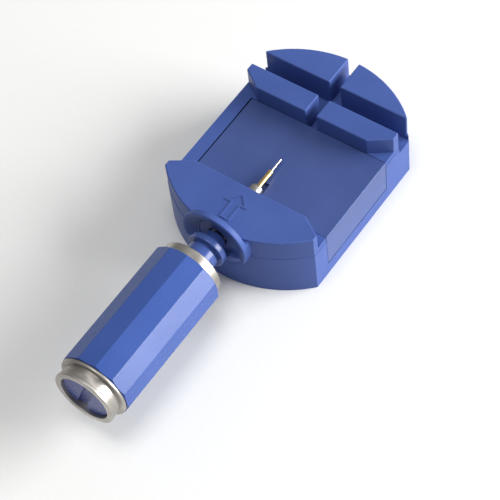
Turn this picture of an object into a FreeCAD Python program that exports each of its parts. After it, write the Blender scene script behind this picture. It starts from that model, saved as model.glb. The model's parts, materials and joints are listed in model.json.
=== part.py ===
"""Bench tool that pushes the link pins out of a watch bracelet.

Millimetres. +X runs along the bracelet channel, +Y runs from the handle to the rear block, +Z is up.
The origin is the centre of the round base, on the face that rests on the bench.
"""

import FreeCAD, Part
import math
import os

Vec = FreeCAD.Vector

# Body: a disc with two flat sides, cut by the channel, one slot along X and one along Y.
body_radius = 46.5
half_width = 33.5
body_height = 30.0
floor_z = 22.2
front_wall_y = -24.6
jaw_front_y = 16.1
jaw_rear_y = 25.4
rear_block_y = 32.7
slot_floor_z = 17.6
cross_slot_width = 4.8
corner_cut_x = 8.4
front_cut_y = 5.2
jaw_cut_y = 5.9
edge_round = 0.5
wall = 3.0
parting_line_z = 20.0
parting_ledge = 0.15
core_rib = 2.0
widest_core = 7.0
smallest_core_volume = 500.0

# Raised arrow on top of the front block, showing which way the pin is driven.
arrow_tip_y = -28.0
arrow_length = 13.0
arrow_head_length = 5.5
arrow_head_width = 10.0
arrow_shaft_width = 4.4
arrow_line = 0.7
arrow_height = 0.3

# Well for the platform, open at the right side of the body.
well_left_x = -28.0
well_floor_z = 5.9
platform_left_x = -27.5
platform_bottom_z = 6.5
platform_gap_y = 0.12
platform_skin = 3.0
platform_wall = 2.4
platform_edge_round = 0.35
lift_up = 0.6

# Height screw and the two dowels that guide the platform.
height_screw_y = -9.0
height_screw_radius = 6.0
height_screw_pitch = 1.5
height_screw_bottom_z = 1.0
journal_radius = 3.4
snap_head_radius = 4.0
dowel_radius = 2.0
dowel_x = (-18.0, 24.0)
dowel_y = -4.25

# Feed axis, running along +Y through the front block.
axis_z = 24.6
hood_radius = 14.0
hood_front_y = -48.5
hood_back_y = -46.3
hood_root_top_z = 29.2
dish_radius = 12.9
dish_floor_radius = 8.1
dish_floor_y = -46.0
dish_back_radius = 9.5
dish_back_y = -44.8
collar_radius = 7.7
collar_front_y = -50.8
collar_back_y = -53.8
collar_edge_round = 0.9
hub_nose_radius = 4.0
hub_nose_y = -46.4
hub_nose_pocket_y = -41.1
neck_radius = 6.1
screw_radius = 3.0
screw_pitch = 1.0
feed_nut_radius = 4.2
feed_nut_y = (hub_nose_pocket_y, -35.0)
screw_front_y = -34.0
screw_shoulder_y = -68.0
screw_rear_y = -76.0
guide_radius = 4.2
guide_rear_y = -27.4
running_gap = 0.05

# Chuck, pin holder and push pin, which only slide.
chuck_radius = 2.6
feed_forward = 4.6
chuck_front_y = -20.0
chuck_tail_radius = 1.8
chuck_tail_length = 6.0
holder_thread_radius = 2.0
holder_thread_length = 6.0
holder_thread_pitch = 0.7
knob_radius = 1.35
knob_length = 2.5
taper_length = 1.2
shank_radius = 1.05
shank_end_y = -10.9
pin_radius = 0.42
pin_tip_y = -4.4
pin_seat_depth = 4.0

# Handle.
ferrule_front_y = -61.0
ferrule_spigot_y = -70.0
hub_step_y = -66.0
hub_rear_y = -74.0
grip_front_y = -65.6
grip_rear_y = -120.5
grip_radius = 14.6
grip_sides = 12
grip_turn = 20.0
grip_edge_round = 0.6
grip_end_cut = 0.5
ferrule_radius = 12.3
core_radius = 9.0
core_bore_radius = 7.5
rear_rim_radius = 13.9
rear_waist_radius = 12.2
rear_end_radius = 12.5
rear_waist_y = (grip_rear_y - 1.2, grip_rear_y - 5.4)
handle_end_y = grip_rear_y - 6.6

# Plug in the rear end, screwed into the core against a rubber ring, with a wide slot to turn it by.
plug_radius = 10.1
plug_seat_y = grip_rear_y - 2.5
plug_face_y = grip_rear_y - 5.2
plug_slot_width = 4.0
plug_slot_depth = 1.2
plug_slot_turn = 22
plug_thread_radius = 8.2
plug_thread_pitch = 1.0
plug_thread_length = 6.0
seal_width = 1.2
spare_circle = 3.4
spare_front_y = -84.0
spare_shank_length = 8.6
spare_pin_length = 6.5
rack_front_y = -92.0
rack_rear_y = -103.5


def box(x0, x1, y0, y1, z0, z1):
    """Solid box between two corners."""
    return Part.makeBox(x1 - x0, y1 - y0, z1 - z0, Vec(x0, y0, z0))


def rod(radius, y0, y1, x=0.0, z=axis_z):
    """Round bar along Y, on the feed axis unless told otherwise."""
    low, high = min(y0, y1), max(y0, y1)
    return Part.makeCylinder(radius, high - low, Vec(x, low, z), Vec(0, 1, 0))


def post(radius, z0, z1, x=0.0, y=0.0):
    """Upright round bar."""
    return Part.makeCylinder(radius, z1 - z0, Vec(x, y, z0))


def prism(points, z0, z1):
    """Upright prism over a closed outline of (x, y) corners."""
    corners = [Vec(x, y, z0) for x, y in points]
    face = Part.Face(Part.makePolygon(corners + [corners[0]]))
    return face.extrude(Vec(0, 0, z1 - z0))


def turned(profile, x=0.0, z=axis_z):
    """Solid turned about a line along Y; the profile is a list of (y, radius) steps."""
    outline = [Vec(x, profile[0][0], z)]
    outline += [Vec(x, y, z + radius) for y, radius in profile]
    outline += [Vec(x, profile[-1][0], z)]
    face = Part.Face(Part.makePolygon(outline + [outline[0]]))
    return face.revolve(Vec(x, 0, z), Vec(0, 1, 0), 360)


def thread_profile(y0, y1, crest, pitch):
    """Profile of a screw thread drawn as parallel ridges, from y0 up to y1."""
    depth = 0.55 * pitch
    count = int(round((y1 - y0) / pitch))
    step = (y1 - y0) / count
    points = []
    for index in range(count):
        start = y0 + index * step
        points.append((start, crest - depth))
        points.append((start + 0.45 * step, crest))
        points.append((start + 0.55 * step, crest))
    points.append((y1, crest - depth))
    return points


def upright(shape, x, y):
    """Turn a shape made along +Y on the line x = z = 0 so that it stands along +Z at (x, y)."""
    shape.rotate(Vec(0, 0, 0), Vec(1, 0, 0), 90)
    shape.translate(Vec(x, y, 0))
    return shape


def mirrored_pair(shape):
    """A shape together with its mirror image in the plane x = 0."""
    return [shape, shape.mirror(Vec(0, 0, 0), Vec(1, 0, 0))]


def round_edges(shape, radius, wanted):
    """Round the straight and curved edges that the test picks."""
    edges = [edge for edge in shape.Edges if wanted(edge)]
    return shape.makeFillet(radius, edges)


def is_rim(edge, radius, y):
    """Whether an edge is the circle of that radius, at that place along the feed axis."""
    box = edge.BoundBox
    return box.YLength < 0.01 and abs(box.YMin - y) < 0.01 and abs(box.XLength - 2 * radius) < 0.02


def body_outline(inset=0.0, z0=0.0, z1=body_height):
    """The disc with two flat sides, optionally shrunk by an even margin."""
    disc = post(body_radius - inset, z0, z1)
    side = half_width - inset
    return disc.common(box(-side, side, -body_radius, body_radius, z0, z1))


def cored_cells(x0, x1, y0, y1, z0, z1):
    """Boxes that core out a block between two corners, with ribs left standing between them."""
    columns = math.ceil((x1 - x0 + core_rib) / (widest_core + core_rib))
    rows = math.ceil((y1 - y0 + core_rib) / (widest_core + core_rib))
    step_x = (x1 - x0 + core_rib) / columns
    step_y = (y1 - y0 + core_rib) / rows
    cells = []
    for column in range(columns):
        for row in range(rows):
            left, front = x0 + column * step_x, y0 + row * step_y
            cells.append(box(left, left + step_x - core_rib, front, front + step_y - core_rib, z0, z1))
    return cells


def channel_cutters():
    """Everything that is cut from above: channel, corner cuts, both slots."""
    top = body_height + 5
    reach = half_width + 5
    cutters = [box(-reach, reach, front_wall_y, jaw_front_y, floor_z, top)]
    cutters.append(box(-reach, reach, jaw_rear_y, rear_block_y, slot_floor_z, top))
    half_slot = cross_slot_width / 2
    cutters.append(box(-half_slot, half_slot, jaw_front_y, body_radius + 5, slot_floor_z, top))
    inner = half_width - corner_cut_x
    front_corner = [(inner, front_wall_y), (half_width, front_wall_y - front_cut_y),
                    (reach, front_wall_y - front_cut_y), (reach, front_wall_y)]
    jaw_corner = [(inner, jaw_front_y), (reach, jaw_front_y),
                  (reach, jaw_front_y + jaw_cut_y), (half_width, jaw_front_y + jaw_cut_y)]
    cutters += mirrored_pair(prism(front_corner, floor_z, top))
    cutters += mirrored_pair(prism(jaw_corner, floor_z, top))
    return cutters


def underside_pockets():
    """Cored pockets that keep the moulding's walls thin, seen only from below."""
    inside = body_outline(wall, -1.0, body_height - wall)
    cells = cored_cells(8.5, 31.0, -body_radius, front_wall_y - wall, -1.0, 19.0)
    cells += cored_cells(1.5, 31.0, jaw_front_y + wall, body_radius, -1.0, slot_floor_z - wall)
    pockets = []
    for cell in cells:
        pocket = cell.common(inside)
        if pocket.Volume > smallest_core_volume:
            pockets += mirrored_pair(pocket)
    return pockets


def feed_arrow():
    """Outline of an arrow that points along +Y, raised a little above the front block."""
    half_shaft, half_head = arrow_shaft_width / 2, arrow_head_width / 2
    neck_y, tail_y = arrow_tip_y - arrow_head_length, arrow_tip_y - arrow_length
    outline = [(0, arrow_tip_y), (half_head, neck_y), (half_shaft, neck_y), (half_shaft, tail_y),
               (-half_shaft, tail_y), (-half_shaft, neck_y), (-half_head, neck_y)]
    corners = [Vec(x, y, 0) for x, y in outline]
    face = Part.Face(Part.makePolygon(corners + [corners[0]]))
    line = face.cut(face.makeOffset2D(-arrow_line))
    line.translate(Vec(0, 0, body_height - arrow_height))
    return line.extrude(Vec(0, 0, 2 * arrow_height))


def hood_shell():
    """Dished round hood over the mouth of the screw hole; below the parting line it is a blunt chin."""
    ring = turned([(hood_front_y, hood_radius), (hood_back_y, hood_radius), (dish_back_y, dish_back_radius)])
    ring = round_edges(ring, edge_round, lambda edge: is_rim(edge, hood_radius, hood_front_y))
    ring = ring.cut(turned([(hood_front_y, dish_radius), (dish_floor_y, dish_floor_radius)]))
    ring = round_edges(ring, 0.3, lambda edge: is_rim(edge, dish_radius, hood_front_y))
    reach = 2 * hood_radius
    ring = ring.common(box(-reach, reach, hood_front_y - 1, 0, parting_line_z, 2 * body_height))
    root = rod(hood_radius, hood_back_y, front_wall_y - wall)
    root = root.common(box(-reach, reach, hood_front_y, 0, 0, hood_root_top_z))
    chin = turned([
        (front_wall_y - wall, hood_radius + 1.0), (hood_front_y + 2.9, hood_radius),
        (hood_front_y + 1.9, 12.6), (hood_front_y + 0.8, 10.8), (hood_front_y + 0.1, 9.0),
    ])
    chin = chin.common(box(-reach, reach, hood_front_y - 1, 0, 0, parting_line_z))
    return ring.fuse(root).fuse(chin)


def main_body():
    """The moulded body: front block, two jaws and the rear block on one base."""
    shape = body_outline(0.0, 0.0, parting_line_z)
    shape = shape.fuse(body_outline(parting_ledge, parting_line_z, body_height))
    shape = shape.cut(Part.makeCompound(channel_cutters()))
    shape = round_edges(shape, edge_round, lambda edge: edge.BoundBox.ZMax > body_height - 0.01)
    shape = shape.fuse(hood_shell()).fuse(feed_arrow())
    well = box(well_left_x, half_width + 5, front_wall_y, jaw_front_y, well_floor_z, body_height)
    cutters = [
        well,
        rod(screw_radius + 0.4, hood_front_y, front_wall_y + 1),
        rod(feed_nut_radius, hood_front_y, feed_nut_y[1]),
        rod(dish_floor_radius, hood_front_y - 1, dish_floor_y),
        rod(guide_radius, guide_rear_y, front_wall_y),
        post(height_screw_radius + running_gap, -1, well_floor_z + 1, 0, height_screw_y),
    ]
    cutters += [post(dowel_radius, 1.0, well_floor_z + 1, x, dowel_y) for x in dowel_x]
    cutters += underside_pockets()
    shape = shape.cut(Part.makeCompound(cutters))
    return shape.removeSplitter()


def feed_nut():
    """Brass insert that the feed screw runs in."""
    low, high = feed_nut_y
    return rod(feed_nut_radius, low, high).cut(rod(screw_radius + running_gap, low - 1, high + 1))


def nose_guide():
    """Steel bush in the inner wall that keeps the chuck in line."""
    bush = rod(guide_radius, guide_rear_y, front_wall_y)
    return bush.cut(rod(chuck_radius + running_gap, guide_rear_y - 1, front_wall_y + 1))


def guide_dowels():
    """The two steel dowels that the platform slides on."""
    return Part.makeCompound([post(dowel_radius, 1.0, 16.0, x, dowel_y) for x in dowel_x])


def platform():
    """Platform under the bracelet: a skin on ribs, with a groove that clears the chuck."""
    y0, y1 = front_wall_y + platform_gap_y, jaw_front_y - platform_gap_y
    shape = box(platform_left_x, half_width, y0, y1, platform_bottom_z, floor_z)
    shape = round_edges(shape, platform_edge_round, lambda edge: edge.BoundBox.ZMax > floor_z - 0.01)
    cells = cored_cells(platform_left_x + platform_wall, half_width - platform_wall, y0 + platform_wall,
                        y1 - platform_wall, platform_bottom_z - 1, floor_z - platform_skin)
    shape = shape.cut(Part.makeCompound(cells))
    bosses = [post(8.0, platform_bottom_z, floor_z - 1, 0, height_screw_y)]
    bosses += [post(dowel_radius + 2.0, platform_bottom_z, floor_z - 1, x, dowel_y) for x in dowel_x]
    for boss in bosses:
        shape = shape.fuse(boss)
    cutters = [
        post(journal_radius + running_gap, platform_bottom_z - 1, 12.0, 0, height_screw_y),
        post(snap_head_radius + 0.6, 9.5, 13.5, 0, height_screw_y),
        rod(chuck_radius + 0.15, y0 - 1, chuck_front_y + feed_forward + 0.3, 0, axis_z - lift_up),
    ]
    cutters += [post(dowel_radius + running_gap, platform_bottom_z - 1, 17.5, x, dowel_y)
                for x in dowel_x]
    return shape.cut(Part.makeCompound(cutters)).removeSplitter()


def thrust_washer():
    """Slip washer between the height screw's shoulder and the platform."""
    ring = post(height_screw_radius - 0.4, platform_bottom_z - 0.5, platform_bottom_z, 0, height_screw_y)
    return ring.cut(post(journal_radius + running_gap, 0, 20, 0, height_screw_y))


def height_screw():
    """Plastic screw under the platform, with a coin slot below and a snap head above."""
    shoulder_z = platform_bottom_z - 0.5 - running_gap
    profile = thread_profile(height_screw_bottom_z, shoulder_z, height_screw_radius, height_screw_pitch)
    profile += [(shoulder_z, journal_radius), (9.6, journal_radius), (9.6, snap_head_radius),
                (10.4, snap_head_radius), (12.4, journal_radius - 0.6)]
    screw = upright(turned([(y, radius) for y, radius in profile], 0, 0), 0, height_screw_y)
    slot = box(-1.0, 1.0, height_screw_y - 4.2, height_screw_y + 4.2, 0, height_screw_bottom_z + 1.8)
    return screw.cut(slot)


def pin_chuck():
    """Nickel-plated nose that holds the pin; its tail swivels in the screw."""
    tail_end = screw_front_y - chuck_tail_length
    profile = [
        (tail_end, chuck_tail_radius), (tail_end + 1.0, chuck_tail_radius),
        (tail_end + 1.0, 1.45), (tail_end + 1.6, 1.45), (tail_end + 1.6, chuck_tail_radius),
        (screw_front_y + 0.1, chuck_tail_radius), (screw_front_y + 0.1, chuck_radius),
        (chuck_front_y - 0.4, chuck_radius), (chuck_front_y, chuck_radius - 0.4),
    ]
    thread_end = chuck_front_y - holder_thread_length - taper_length
    bore = rod(holder_thread_radius + 0.02, thread_end, chuck_front_y + 1)
    pilot = rod(knob_radius + 0.02, thread_end - knob_length - 0.3, thread_end)
    return turned(profile).cut(bore).cut(pilot)


def chuck_snap_ring():
    """Spring ring that keeps the chuck's tail in the screw."""
    y = screw_front_y - chuck_tail_length + 1.05
    return rod(2.1, y, y + 0.5).cut(rod(1.48, y - 1, y + 1.5))


def holder_profile(front_y, tip_y):
    """Profile of a pin holder whose thread ends at front_y and whose shank ends at tip_y."""
    rear_y = front_y - taper_length - holder_thread_length - knob_length
    thread_y = rear_y + knob_length
    profile = [(rear_y, knob_radius - 0.3), (rear_y + 0.3, knob_radius), (thread_y, knob_radius)]
    profile += thread_profile(thread_y, front_y - taper_length, holder_thread_radius, holder_thread_pitch)
    profile += [(front_y, shank_radius), (tip_y - 0.3, shank_radius), (tip_y, shank_radius - 0.3)]
    return profile


def pin_holder(front_y, tip_y, x=0.0, z=axis_z):
    """Brass holder: knob, thread, short cone and shank, bored for the pin."""
    return turned(holder_profile(front_y, tip_y), x, z).cut(rod(pin_radius, tip_y - pin_seat_depth,
                                                                tip_y + 1, x, z))


def push_pin(shank_y, tip_y, x=0.0, z=axis_z):
    """Hardened steel pin, pressed into its holder."""
    profile = [(shank_y - pin_seat_depth, pin_radius), (tip_y - 0.1, pin_radius), (tip_y, pin_radius - 0.1)]
    return turned(profile, x, z)


def feed_screw():
    """Steel feed screw with a socket for the chuck's tail and a knurled rear end."""
    thread_rear_y = screw_shoulder_y + 6.0
    profile = [(screw_rear_y, 4.0), (screw_shoulder_y, 4.0), (screw_shoulder_y, screw_radius),
               (thread_rear_y, screw_radius)]
    profile += thread_profile(thread_rear_y, screw_front_y, screw_radius, screw_pitch)
    socket = rod(chuck_tail_radius + running_gap, screw_front_y - chuck_tail_length - 0.5, screw_front_y + 1)
    groove_y = screw_front_y - chuck_tail_length + 0.9
    groove = rod(2.2, groove_y, groove_y + 0.8)
    return turned(profile).cut(socket).cut(groove)


def collar_hub():
    """Plastic hub around the feed screw: the neck, its collar and the spigot in the handle."""
    profile = [
        (hub_rear_y, core_bore_radius), (hub_step_y, core_bore_radius), (hub_step_y, neck_radius),
        (collar_back_y - 1.3, neck_radius), (collar_back_y - 1.0, 5.3), (collar_back_y, 5.3),
        (collar_back_y, collar_radius), (collar_front_y, collar_radius),
        (collar_front_y, hub_nose_radius), (hub_nose_y - 0.4, hub_nose_radius),
        (hub_nose_y, hub_nose_radius - 0.4),
    ]
    hub = turned(profile)
    hub = round_edges(hub, collar_edge_round, lambda edge: is_rim(edge, collar_radius, collar_front_y))
    hub = round_edges(hub, 0.4, lambda edge: is_rim(edge, collar_radius, collar_back_y))
    bore = turned([(hub_rear_y - 1, 4.0), (screw_shoulder_y, 4.0), (screw_shoulder_y, screw_radius),
                   (hub_nose_y + 1, screw_radius)])
    return hub.cut(bore)


def front_ferrule():
    """Nickel-plated ring at the front of the grip, with a spigot inside it."""
    profile = [
        (ferrule_spigot_y, core_radius - 0.5), (grip_front_y, core_radius - 0.5),
        (grip_front_y, ferrule_radius), (ferrule_front_y, ferrule_radius),
    ]
    ring = turned(profile)
    ring = round_edges(ring, 0.9, lambda edge: is_rim(edge, ferrule_radius, ferrule_front_y))
    ring = round_edges(ring, 0.4, lambda edge: is_rim(edge, ferrule_radius, grip_front_y))
    bore = turned([(ferrule_spigot_y - 1, core_bore_radius), (hub_step_y, core_bore_radius),
                   (hub_step_y, neck_radius), (ferrule_front_y + 1, neck_radius)])
    return ring.cut(bore)


def grip_sleeve():
    """Twelve-sided plastic grip with chamfered ends and softened long edges."""
    corners = []
    for index in range(grip_sides):
        angle = math.radians(grip_turn + index * 360.0 / grip_sides)
        across, up = grip_radius * math.cos(angle), grip_radius * math.sin(angle)
        corners.append(Vec(across, grip_rear_y, axis_z + up))
    face = Part.Face(Part.makePolygon(corners + [corners[0]]))
    length = grip_front_y - grip_rear_y
    sleeve = face.extrude(Vec(0, length, 0))
    sleeve = round_edges(sleeve, grip_edge_round, lambda edge: edge.BoundBox.YLength > length - 0.01)
    limit = turned([
        (grip_rear_y, grip_radius - grip_end_cut), (grip_rear_y + grip_end_cut, grip_radius),
        (grip_front_y - grip_end_cut, grip_radius), (grip_front_y, grip_radius - grip_end_cut),
    ])
    bore = turned([
        (grip_rear_y - 1, core_radius), (ferrule_spigot_y, core_radius),
        (ferrule_spigot_y, core_radius - 0.5), (grip_front_y + 1, core_radius - 0.5),
    ])
    return sleeve.common(limit).cut(bore)


def handle_core():
    """Metal tube through the grip; the spare pins are kept in it."""
    tube = rod(core_radius, ferrule_spigot_y, plug_seat_y)
    thread_end_y = plug_seat_y + plug_thread_length + 1.5
    bore = turned([
        (plug_seat_y - 1, plug_thread_radius + running_gap), (thread_end_y, plug_thread_radius + running_gap),
        (thread_end_y, core_bore_radius), (ferrule_spigot_y + 1, core_bore_radius),
    ])
    return tube.cut(bore)


def rear_ferrule():
    """Waisted nickel-plated ring at the rear of the grip."""
    waist_front, waist_rear = rear_waist_y
    profile = [
        (handle_end_y, rear_end_radius), (waist_rear, rear_end_radius),
        (waist_rear + 0.3, rear_waist_radius), (waist_front - 0.3, rear_waist_radius),
        (waist_front, rear_rim_radius), (grip_rear_y, rear_rim_radius),
    ]
    ring = turned(profile)
    rims = [(rear_end_radius, handle_end_y), (rear_rim_radius, waist_front), (rear_rim_radius, grip_rear_y)]
    for radius, y in rims:
        ring = round_edges(ring, 0.4, lambda edge: is_rim(edge, radius, y))
    bore = turned([
        (handle_end_y - 1, plug_radius), (plug_seat_y, plug_radius), (plug_seat_y, core_radius),
        (grip_rear_y + 3.0, core_radius),
    ])
    ring = ring.cut(bore)
    return round_edges(ring, 0.3, lambda edge: is_rim(edge, plug_radius, handle_end_y))


def end_plug():
    """Plug that closes the store for the spare pins, with a wide slot across its face."""
    head_front_y = plug_seat_y - 2 * running_gap
    thread_rear_y = head_front_y + seal_width
    head_radius = plug_radius - running_gap
    profile = [(plug_face_y, head_radius), (head_front_y, head_radius)]
    profile += [(head_front_y, plug_thread_radius - 1.0), (thread_rear_y, plug_thread_radius - 1.0)]
    profile += thread_profile(thread_rear_y, thread_rear_y + plug_thread_length, plug_thread_radius,
                              plug_thread_pitch)
    plug = turned(profile)
    plug = round_edges(plug, 0.3, lambda edge: is_rim(edge, head_radius, plug_face_y))
    half_slot = plug_slot_width / 2
    slot = box(-half_slot, half_slot, plug_face_y - 1, plug_face_y + plug_slot_depth,
               axis_z - plug_radius, axis_z + plug_radius)
    slot.rotate(Vec(0, 0, axis_z), Vec(0, 1, 0), plug_slot_turn)
    return plug.cut(slot)


def plug_seal():
    """Rubber ring under the plug's head."""
    ring = rod(plug_thread_radius - 0.1, plug_seat_y + running_gap, plug_seat_y + seal_width - 0.3)
    return ring.cut(rod(plug_thread_radius - 0.98, plug_seat_y - 5, plug_seat_y + 5))


def spare_places():
    """Where the three spare pins stand in the handle, as (x, z)."""
    places = []
    for index in range(3):
        angle = math.radians(90 + 120 * index)
        places.append((spare_circle * math.cos(angle), axis_z + spare_circle * math.sin(angle)))
    return places


def spare_holders():
    """The brass holders of the three spare pins."""
    thread_front_y = spare_front_y - spare_shank_length
    return Part.makeCompound([pin_holder(thread_front_y, spare_front_y, x, z) for x, z in spare_places()])


def spare_tips():
    """The steel pins of the three spares."""
    tip_y = spare_front_y + spare_pin_length
    return Part.makeCompound([push_pin(spare_front_y, tip_y, x, z) for x, z in spare_places()])


def pin_rack():
    """Soft rack that holds the spare pins by their threads."""
    rack = rod(core_bore_radius - running_gap, rack_rear_y, rack_front_y)
    for x, z in spare_places():
        rack = rack.cut(rod(holder_thread_radius, rack_rear_y - 1, rack_front_y + 1, x, z))
    return rack


nodes = {
    "main_body": main_body(),
    "feed_nut": feed_nut(),
    "nose_guide": nose_guide(),
    "guide_dowels": guide_dowels(),
    "platform": platform(),
    "thrust_washer": thrust_washer(),
    "height_screw": height_screw(),
    "pin_chuck": pin_chuck(),
    "chuck_snap_ring": chuck_snap_ring(),
    "pin_holder": pin_holder(chuck_front_y, shank_end_y),
    "push_pin": push_pin(shank_end_y, pin_tip_y),
    "feed_screw": feed_screw(),
    "collar_hub": collar_hub(),
    "front_ferrule": front_ferrule(),
    "grip_sleeve": grip_sleeve(),
    "handle_core": handle_core(),
    "rear_ferrule": rear_ferrule(),
    "end_plug": end_plug(),
    "plug_seal": plug_seal(),
    "spare_holders": spare_holders(),
    "spare_tips": spare_tips(),
    "pin_rack": pin_rack(),
}

os.makedirs("parts", exist_ok=True)
for name, shape in nodes.items():
    shape.exportStep("parts/" + name + ".step")
    print(name, "solids", len(shape.Solids), "valid", shape.isValid(), "volume", round(shape.Volume, 1))
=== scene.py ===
"""Looks of a bench tool that pushes the link pins out of a watch bracelet.

Metres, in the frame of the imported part: +X along the bracelet channel, +Y from the handle to the
rear block, +Z up. Material patterns are sized in millimetres.
"""

import json
import math

import bpy
from mathutils import Matrix, Vector


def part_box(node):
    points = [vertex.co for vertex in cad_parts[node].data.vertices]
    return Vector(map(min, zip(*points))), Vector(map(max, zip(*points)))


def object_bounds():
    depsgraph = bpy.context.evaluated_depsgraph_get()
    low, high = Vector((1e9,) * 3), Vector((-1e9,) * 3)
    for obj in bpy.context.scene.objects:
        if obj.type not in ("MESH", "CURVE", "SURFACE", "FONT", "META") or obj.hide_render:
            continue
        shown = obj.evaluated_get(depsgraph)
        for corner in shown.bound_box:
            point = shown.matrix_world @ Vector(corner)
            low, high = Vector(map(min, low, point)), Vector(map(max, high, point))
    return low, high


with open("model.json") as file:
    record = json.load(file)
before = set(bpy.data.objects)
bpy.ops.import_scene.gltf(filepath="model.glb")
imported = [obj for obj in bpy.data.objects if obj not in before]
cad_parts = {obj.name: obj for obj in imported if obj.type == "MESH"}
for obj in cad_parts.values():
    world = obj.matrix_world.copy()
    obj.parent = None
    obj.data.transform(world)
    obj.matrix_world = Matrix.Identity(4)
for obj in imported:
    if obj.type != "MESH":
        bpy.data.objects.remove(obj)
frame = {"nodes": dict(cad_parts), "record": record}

cad_low, cad_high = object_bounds()

MM = 0.001
EDGE_WIDTH_MM = 0.3
LATHE_ANISOTROPY = 0.4
FLOOR_HALF = 3.0
SENSOR_WIDTH = 36

ferrule_low, ferrule_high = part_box("rear_ferrule")
feed_axis = (0, 0, (ferrule_low.z + ferrule_high.z) / 2)


# ---------------------------------------------------------------- material building blocks

class Finish:
    """One procedural material, built around its Principled shader."""

    def __init__(self, name, sockets):
        self.material = bpy.data.materials.new(name)
        self.material.use_nodes = True
        self.tree = self.material.node_tree
        self.shader = self.tree.nodes["Principled BSDF"]
        for socket, value in sockets.items():
            self.shader.inputs[socket].default_value = value

    def node(self, kind, inputs=(), **settings):
        """Add a node; inputs are (socket, value or output) pairs."""
        made = self.tree.nodes.new(kind)
        for name, value in settings.items():
            setattr(made, name, value)
        for socket, value in inputs:
            if isinstance(value, bpy.types.NodeSocket):
                self.tree.links.new(value, made.inputs[socket])
            else:
                made.inputs[socket].default_value = value
        return made

    def place(self, stretch=(1, 1, 1)):
        """Position on the part in millimetres, optionally stretched along each axis."""
        where = self.node("ShaderNodeTexCoord").outputs["Object"]
        factors = tuple(value / MM for value in stretch)
        scaled = self.node("ShaderNodeVectorMath", [(0, where), (1, factors)], operation="MULTIPLY")
        return scaled.outputs["Vector"]

    def turned_place(self):
        """(distance along the feed axis, distance from it, 0) in millimetres."""
        where = self.node("ShaderNodeTexCoord").outputs["Object"]
        centred = self.node("ShaderNodeVectorMath", [(0, where), (1, feed_axis)], operation="SUBTRACT")
        parts = self.node("ShaderNodeSeparateXYZ", [(0, centred.outputs["Vector"])])
        flat = self.node("ShaderNodeCombineXYZ", [(0, parts.outputs["X"]), (2, parts.outputs["Z"])])
        radius = self.node("ShaderNodeVectorMath", [(0, flat.outputs[0])], operation="LENGTH")
        joined = self.node("ShaderNodeCombineXYZ", [(0, parts.outputs["Y"]), (1, radius.outputs["Value"])])
        scaled = self.node("ShaderNodeVectorMath", [(0, joined.outputs[0]), (3, 1 / MM)], operation="SCALE")
        return scaled.outputs["Vector"]

    def noise(self, place, per_mm, detail=3.0, roughness=0.55):
        """Soft random pattern with that many features per millimetre."""
        made = self.node("ShaderNodeTexNoise", [("Vector", place), ("Scale", per_mm),
                                                ("Detail", detail), ("Roughness", roughness)])
        return made.outputs["Fac"]

    def cells(self, place, per_mm):
        """Distance to the nearest of many scattered points."""
        return self.node("ShaderNodeTexVoronoi", [("Vector", place), ("Scale", per_mm)]).outputs["Distance"]

    def spread(self, value, low, high, from_low=0.0, from_high=1.0):
        """Stretch a value from one range to another, clamped."""
        made = self.node("ShaderNodeMapRange", [("Value", value), ("From Min", from_low),
                                                ("From Max", from_high), ("To Min", low), ("To Max", high)])
        return made.outputs["Result"]

    def product(self, a, b):
        """One value times another."""
        return self.node("ShaderNodeMath", [(0, a), (1, b)], operation="MULTIPLY").outputs[0]

    def total(self, a, b):
        """One value plus another."""
        return self.node("ShaderNodeMath", [(0, a), (1, b)], operation="ADD").outputs[0]

    def blend(self, share, colour_a, colour_b):
        """Mix of two colours."""
        made = self.node("ShaderNodeMix", [(0, share), (6, colour_a), (7, colour_b)], data_type="RGBA")
        return made.outputs[2]

    def edges(self):
        """1 along the edges of the shape and 0 on its open faces."""
        bevel = self.node("ShaderNodeBevel", [("Radius", EDGE_WIDTH_MM * MM)], samples=4)
        normal = self.node("ShaderNodeNewGeometry").outputs["Normal"]
        match = self.node("ShaderNodeVectorMath", [(0, bevel.outputs[0]), (1, normal)],
                          operation="DOT_PRODUCT")
        return self.spread(match.outputs["Value"], 1.0, 0.0, 0.86, 0.995)

    def bump(self, height, depth_mm, under=None):
        """Normals from a height pattern, laid over an earlier bump."""
        inputs = [("Height", height), ("Distance", depth_mm * MM), ("Strength", 1.0)]
        if under is not None:
            inputs.append(("Normal", under))
        return self.node("ShaderNodeBump", inputs).outputs[0]

    def drive(self, **sockets):
        """Link outputs to the shader: colour, rough, normal."""
        names = {"colour": "Base Color", "rough": "Roughness", "normal": "Normal"}
        for short, output in sockets.items():
            self.tree.links.new(output, self.shader.inputs[names[short]])
        return self.material


def rgb(red, green, blue):
    """Opaque colour."""
    return (red, green, blue, 1.0)


# ---------------------------------------------------------------- materials

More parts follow.
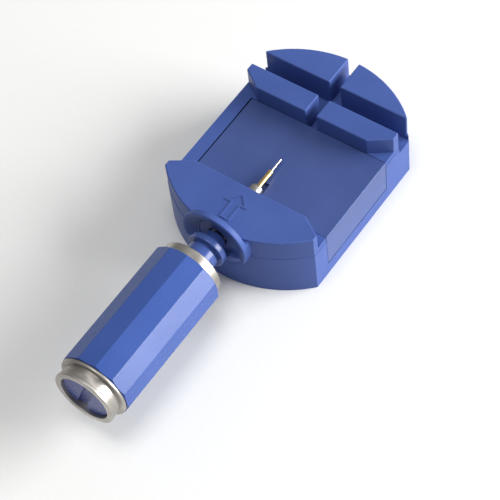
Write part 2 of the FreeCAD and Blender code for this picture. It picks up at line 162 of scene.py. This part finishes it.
def moulded_plastic(name, deep, bright, edge_highlight_and_wear, rough, grain_depth_mm, gloss, coat=0.0):
    """Moulded plastic: slow shade drift, fine spark-eroded grain, and paler edges that are painted edge
    highlight broken into patches of rubbed wear.
    """
    finish = Finish(name, {"IOR": 1.5, "Specular IOR Level": gloss, "Coat Weight": coat,
                           "Coat Roughness": 0.12})
    place = finish.place()
    drift = finish.noise(place, per_mm=0.035, detail=2.0)
    speckle = finish.noise(place, per_mm=3.2, detail=2.0)
    shade = finish.total(finish.product(drift, 0.75), finish.product(speckle, 0.25))
    colour = finish.blend(finish.spread(shade, 0.0, 1.0, 0.35, 0.65), deep, bright)
    # Paler edges: a painted edge highlight, mixed in patches like rubbed wear, toward the third colour.
    patchy = finish.spread(finish.noise(place, per_mm=0.22, detail=4.0), 0.25, 1.0, 0.4, 0.62)
    highlight_and_rubbed = finish.product(finish.edges(), patchy)
    colour = finish.blend(finish.product(highlight_and_rubbed, 0.35), colour, edge_highlight_and_wear)
    smear = finish.spread(finish.noise(place, per_mm=0.06, detail=3.0), -0.03, 0.04, 0.3, 0.7)
    shine = finish.total(finish.spread(speckle, rough - 0.02, rough + 0.03, 0.3, 0.7), smear)
    grain = finish.bump(finish.cells(place, 4.5), grain_depth_mm)
    ripple = finish.bump(finish.noise(place, per_mm=0.08, detail=1.0), 0.03, grain)
    return finish.drive(colour=colour, rough=shine, normal=ripple)


def turned_metal(name, dull, bright, rough, line_depth_mm, tarnish):
    """Lathe-turned metal: fine rings about the feed axis, darker patches, and brighter rims that are painted
    edge highlight and rubbed wear.
    """
    finish = Finish(name, {"Metallic": 1.0, "Anisotropic": LATHE_ANISOTROPY})
    rings_at = finish.turned_place()
    place = finish.place()
    rings = finish.noise(rings_at, per_mm=6.0, detail=4.0, roughness=0.7)
    stain = finish.spread(finish.noise(place, per_mm=0.16, detail=5.0), 0.0, tarnish, 0.45, 0.72)
    shade = finish.spread(rings, 0.35, 1.0, 0.3, 0.7)
    colour = finish.blend(shade, dull, bright)
    colour = finish.blend(stain, colour, dull)
    # Brighter rims: a painted edge highlight and rubbed wear along every edge.
    colour = finish.blend(finish.product(finish.edges(), 0.6), colour, bright)
    shine = finish.total(finish.spread(rings, rough - 0.06, rough + 0.1, 0.3, 0.7),
                         finish.product(stain, 0.35))
    lines = finish.bump(rings, line_depth_mm)
    return finish.drive(colour=colour, rough=shine, normal=lines)


def ground_metal(name, dull, bright, rough, along):
    """Ground or drawn metal: fine scratches that run along one axis."""
    finish = Finish(name, {"Metallic": 1.0, "Anisotropic": 0.3})
    scratches = finish.noise(finish.place(along), per_mm=3.0, detail=5.0, roughness=0.7)
    colour = finish.blend(finish.spread(scratches, 0.0, 1.0, 0.3, 0.7), dull, bright)
    shine = finish.spread(scratches, rough - 0.05, rough + 0.12, 0.3, 0.7)
    return finish.drive(colour=colour, rough=shine, normal=finish.bump(scratches, 0.004))


def soft_polymer(name, deep, bright, rough, grain_depth_mm):
    """Rubber or natural nylon: cloudy colour and a soft uneven skin."""
    finish = Finish(name, {"IOR": 1.5, "Sheen Weight": 0.08})
    place = finish.place()
    cloud = finish.noise(place, per_mm=0.4, detail=4.0)
    colour = finish.blend(finish.spread(cloud, 0.0, 1.0, 0.35, 0.65), deep, bright)
    shine = finish.spread(finish.noise(place, per_mm=1.5, detail=3.0), rough - 0.08, rough + 0.08, 0.35, 0.65)
    skin = finish.bump(finish.noise(place, per_mm=5.0), grain_depth_mm)
    return finish.drive(colour=colour, rough=shine, normal=skin)


# The third colour of each moulded plastic is the painted edge highlight and rubbed wear colour of its edges.
finishes = {
    "body_plastic": moulded_plastic(
        "blue_moulding", rgb(0.050, 0.090, 0.288), rgb(0.062, 0.106, 0.332), rgb(0.15, 0.24, 0.55),
        rough=0.38, grain_depth_mm=0.012, gloss=0.16),
    "platform_plastic": moulded_plastic(
        "blue_platform", rgb(0.044, 0.074, 0.222), rgb(0.056, 0.090, 0.262), rgb(0.14, 0.22, 0.50),
        rough=0.30, grain_depth_mm=0.014, gloss=0.35),
    "grip_plastic": moulded_plastic(
        "blue_grip", rgb(0.034, 0.074, 0.270), rgb(0.044, 0.090, 0.315), rgb(0.11, 0.20, 0.56),
        rough=0.26, grain_depth_mm=0.006, gloss=0.3, coat=0.08),
    "hub_plastic": moulded_plastic(
        "blue_hub", rgb(0.040, 0.080, 0.275), rgb(0.052, 0.096, 0.320), rgb(0.11, 0.20, 0.55),
        rough=0.22, grain_depth_mm=0.004, gloss=0.35, coat=0.15),
    "plug_plastic": moulded_plastic(
        "blue_plug", rgb(0.034, 0.056, 0.250), rgb(0.044, 0.070, 0.290), rgb(0.10, 0.19, 0.50),
        rough=0.26, grain_depth_mm=0.008, gloss=0.3, coat=0.1),
    "nickel": turned_metal(
        "satin_nickel", rgb(0.22, 0.205, 0.185), rgb(0.58, 0.55, 0.51),
        rough=0.33, line_depth_mm=0.008, tarnish=0.5),
    "brass": turned_metal(
        "turned_brass", rgb(0.50, 0.31, 0.10), rgb(0.86, 0.62, 0.27),
        rough=0.24, line_depth_mm=0.006, tarnish=0.35),
    "screw_steel": turned_metal(
        "oiled_steel", rgb(0.10, 0.10, 0.10), rgb(0.26, 0.26, 0.25),
        rough=0.3, line_depth_mm=0.005, tarnish=0.4),
    "pin_steel": ground_metal(
        "ground_steel", rgb(0.45, 0.45, 0.46), rgb(0.72, 0.72, 0.72),
        rough=0.2, along=(4, 0.15, 4)),
    "core_aluminium": ground_metal(
        "drawn_tube", rgb(0.62, 0.62, 0.63), rgb(0.82, 0.82, 0.83),
        rough=0.3, along=(4, 0.1, 4)),
    "screw_plastic": soft_polymer(
        "black_nylon", rgb(0.010, 0.010, 0.012), rgb(0.022, 0.022, 0.026),
        rough=0.42, grain_depth_mm=0.01),
    "washer_plastic": soft_polymer(
        "natural_nylon", rgb(0.62, 0.60, 0.50), rgb(0.78, 0.76, 0.66),
        rough=0.4, grain_depth_mm=0.01),
    "soft_rubber": soft_polymer(
        "soft_rubber", rgb(0.012, 0.012, 0.012), rgb(0.024, 0.023, 0.022),
        rough=0.68, grain_depth_mm=0.02),
}

slot_of = {entry["node"]: entry["material_slot"] for entry in frame["record"]["subparts"]}

for name, node in frame["nodes"].items():
    node.data.materials.clear()
    node.data.materials.append(finishes[slot_of[name]])


# ---------------------------------------------------------------- studio

def floor():
    """Plain pale table, large enough to fill the view."""
    mesh = bpy.data.meshes.new("floor")
    corners = [(-FLOOR_HALF, -FLOOR_HALF, 0), (FLOOR_HALF, -FLOOR_HALF, 0),
               (FLOOR_HALF, FLOOR_HALF, 0), (-FLOOR_HALF, FLOOR_HALF, 0)]
    mesh.from_pydata(corners, [], [(0, 1, 2, 3)])
    table = bpy.data.objects.new("floor", mesh)
    table.location.z = cad_low.z
    bpy.context.scene.collection.objects.link(table)
    paper = Finish("pale_table", {"Specular IOR Level": 0.2})
    grain = paper.noise(paper.place(), per_mm=0.5)
    colour = paper.blend(grain, rgb(0.79, 0.79, 0.78), rgb(0.82, 0.82, 0.81))
    shine = paper.spread(grain, 0.75, 0.85)
    mesh.materials.append(paper.drive(colour=colour, rough=shine))


def softbox(name, toward, distance, size, power):
    """Rectangular soft light that looks at the middle of the tool from the given direction."""
    lamp = bpy.data.lights.new(name, "AREA")
    lamp.shape = "RECTANGLE"
    lamp.size, lamp.size_y = size
    lamp.energy = power
    box = bpy.data.objects.new(name, lamp)
    direction = Vector(toward).normalized()
    box.location = middle + direction * distance
    box.rotation_euler = (-direction).to_track_quat("-Z", "Y").to_euler()
    bpy.context.scene.collection.objects.link(box)


def sky(strength):
    """Even pale surroundings."""
    world = bpy.data.worlds.new("studio")
    world.use_nodes = True
    background = world.node_tree.nodes["Background"]
    background.inputs["Color"].default_value = rgb(1.0, 1.0, 1.0)
    background.inputs["Strength"].default_value = strength
    bpy.context.scene.world = world


def camera(azimuth, elevation, roll, distance, aim, lens):
    """Camera that looks at a point; azimuth 0 looks along +Y, and 90 along -X."""
    data = bpy.data.cameras.new("camera")
    data.sensor_width = SENSOR_WIDTH
    data.lens = lens
    data.clip_start, data.clip_end = 0.01, 20
    eye = bpy.data.objects.new("camera", data)
    turn, tip = math.radians(azimuth), math.radians(elevation)
    back = Vector((math.sin(turn) * math.cos(tip), -math.cos(turn) * math.cos(tip), math.sin(tip)))
    look = (-back).to_track_quat("-Z", "Y").to_matrix()
    look = look @ Matrix.Rotation(math.radians(roll), 3, "Z")
    eye.matrix_world = Matrix.Translation(aim + back * distance) @ look.to_4x4()
    bpy.context.scene.collection.objects.link(eye)
    bpy.context.scene.camera = eye


middle = (cad_low + cad_high) / 2
floor()
sky(0.30)
softbox("key", toward=(0.78, 0.58, 0.35), distance=1.8, size=(1.5, 1.0), power=64.0)
softbox("top", toward=(0.0, -0.1, 1.0), distance=1.6, size=(0.7, 0.7), power=10.0)
camera(azimuth=41.2524, elevation=54.9036, roll=-7.9852, distance=0.7087,
       aim=Vector((0.0092, -0.0396, 0.015)), lens=137.86)
bpy.context.scene.view_settings.view_transform = "Standard"
